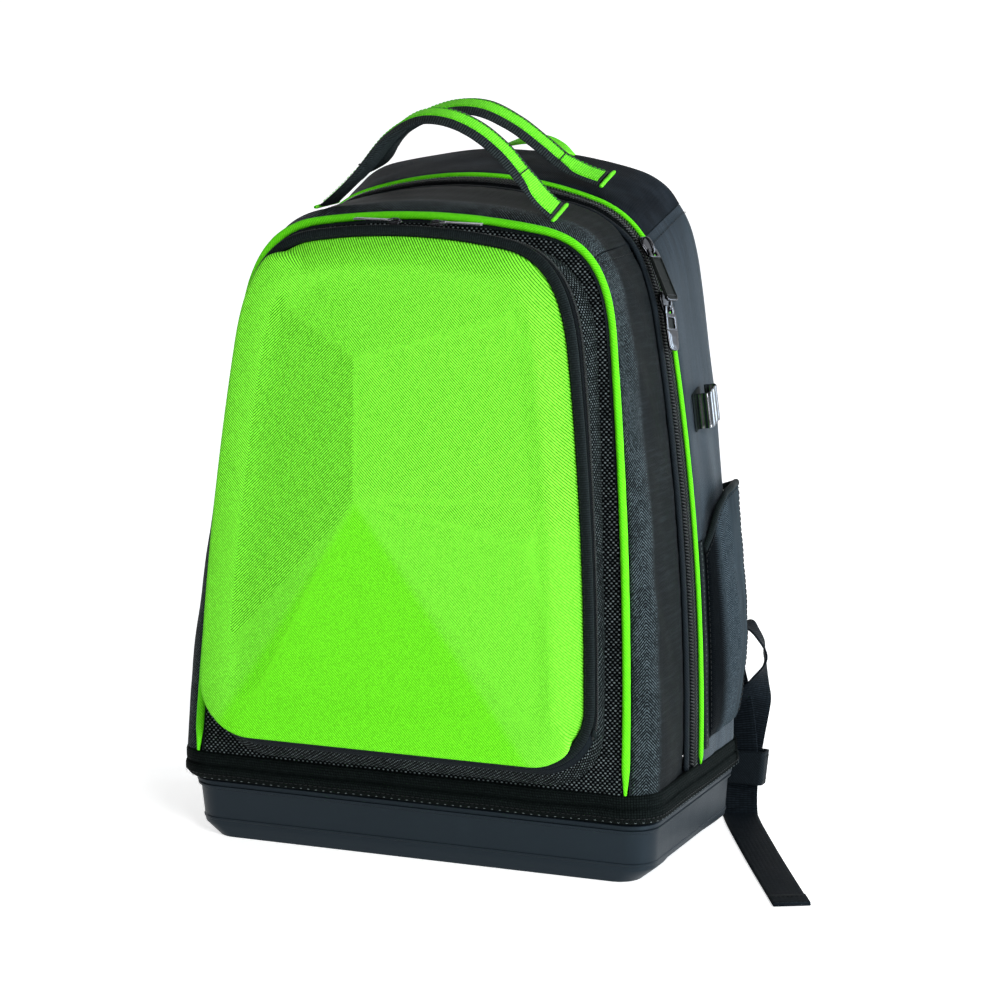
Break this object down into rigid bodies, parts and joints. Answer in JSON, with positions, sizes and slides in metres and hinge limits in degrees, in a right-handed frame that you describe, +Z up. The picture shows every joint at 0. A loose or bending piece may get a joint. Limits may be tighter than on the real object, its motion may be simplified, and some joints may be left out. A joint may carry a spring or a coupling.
{
  "type": "tool backpack",
  "caption": "Upright zipped backpack with a stiff plastic base tray, a faceted green front pocket, webbing grab handles, side pockets and padded shoulder straps.",
  "frame": {"origin": "centre of the base tray's flat underside, at floor level", "axes": "+Z up the bag, +Y towards the wearer's back panel, -Y out of the front pocket, +X to the side with the tape clip"},
  "size_m": [0.4621, 0.4313, 0.5043],
  "materials": {
    "black_nylon": "woven ballistic nylon",
    "smooth_nylon": "smooth close-woven nylon",
    "grey_nylon": "woven nylon, slightly lighter",
    "green_twill": "bright green twill over foam",
    "green_webbing": "bright green woven webbing",
    "black_webbing": "ribbed black webbing",
    "binding": "smooth black binding tape",
    "coil_zip": "coil zip, matt black",
    "tray_plastic": "satin moulded plastic",
    "mesh_pad": "spacer mesh over foam",
    "dark_nickel": "dark polished nickel",
    "silver_metal": "polished",
    "black_plastic": "moulded black plastic"
  },
  "bodies": {
    "pack": {"back_pad": "mesh_pad", "back_panel": "black_nylon", "base_band": "black_webbing", "base_tray": "tray_plastic", "front_gusset_left": "smooth_nylon", "front_gusset_right": "smooth_nylon", "front_gusset_top": "smooth_nylon", "front_panel": "black_nylon", "front_piping": "green_webbing", "handle_front": "black_webbing", "handle_front_bar_left": "green_webbing", "handle_front_bar_right": "green_webbing", "handle_front_stripe": "green_webbing", "handle_rear": "black_webbing", "handle_rear_bar_left": "green_webbing", "handle_rear_bar_right": "green_webbing", "handle_rear_stripe": "green_webbing", "hang_loop": "green_webbing", "ladder_lock_left": "black_plastic", "ladder_lock_right": "black_plastic", "lumbar_pad": "green_webbing", "main_slider_lower": "dark_nickel", "main_slider_upper": "dark_nickel", "main_zip": "coil_zip", "pocket_binding": "binding", "pocket_gusset": "black_nylon", "pocket_lower_strip": "black_nylon", "pocket_panel": "green_twill", "pocket_slider_left": "dark_nickel", "pocket_slider_right": "dark_nickel", "pocket_zip": "coil_zip", "rear_gusset_left": "grey_nylon", "rear_gusset_right": "grey_nylon", "rear_gusset_top": "grey_nylon", "rear_piping": "green_webbing", "shoulder_strap_left": "black_nylon", "shoulder_strap_right": "black_nylon", "side_pocket_edge_left": "binding", "side_pocket_edge_right": "binding", "side_pocket_left": "grey_nylon", "side_pocket_right": "grey_nylon", "strap_keeper_left": "black_nylon", "strap_keeper_right": "black_nylon", "strap_yoke": "black_nylon", "tape_clip": "dark_nickel", "webbing_left": "black_webbing", "webbing_right": "black_webbing", "zip_flap": "binding"},
    "main_pull_upper_body": {"main_pull_upper": "black_plastic"},
    "main_pull_lower_body": {"main_pull_lower": "dark_nickel"},
    "pocket_pull_left_body": {"pocket_pull_left": "silver_metal"},
    "pocket_pull_right_body": {"pocket_pull_right": "silver_metal"}
  },
  "joints": [
    {"name": "main_pull_upper_swing", "type": "hinge", "parent": "pack", "child": "main_pull_upper_body", "pos_m": [0.12417, 0.02657, 0.40685], "axis": [-0.3004, -0.9456, 0.125], "range_deg": [0, 120]},
    {"name": "main_pull_lower_swing", "type": "hinge", "parent": "pack", "child": "main_pull_lower_body", "pos_m": [0.13807, 0.02204, 0.36974], "axis": [-0.2766, -0.9417, 0.1917], "range_deg": [0, 95]},
    {"name": "pocket_pull_left_swing", "type": "hinge", "parent": "pack", "child": "pocket_pull_left_body", "pos_m": [-0.01546, -0.08854, 0.43264], "axis": [0.1175, 0.9879, 0.1013], "range_deg": [0, 120]},
    {"name": "pocket_pull_right_swing", "type": "hinge", "parent": "pack", "child": "pocket_pull_right_body", "pos_m": [0.01946, -0.08855, 0.43255], "axis": [0.1175, -0.9879, -0.1013], "range_deg": [0, 120]}
  ]
}
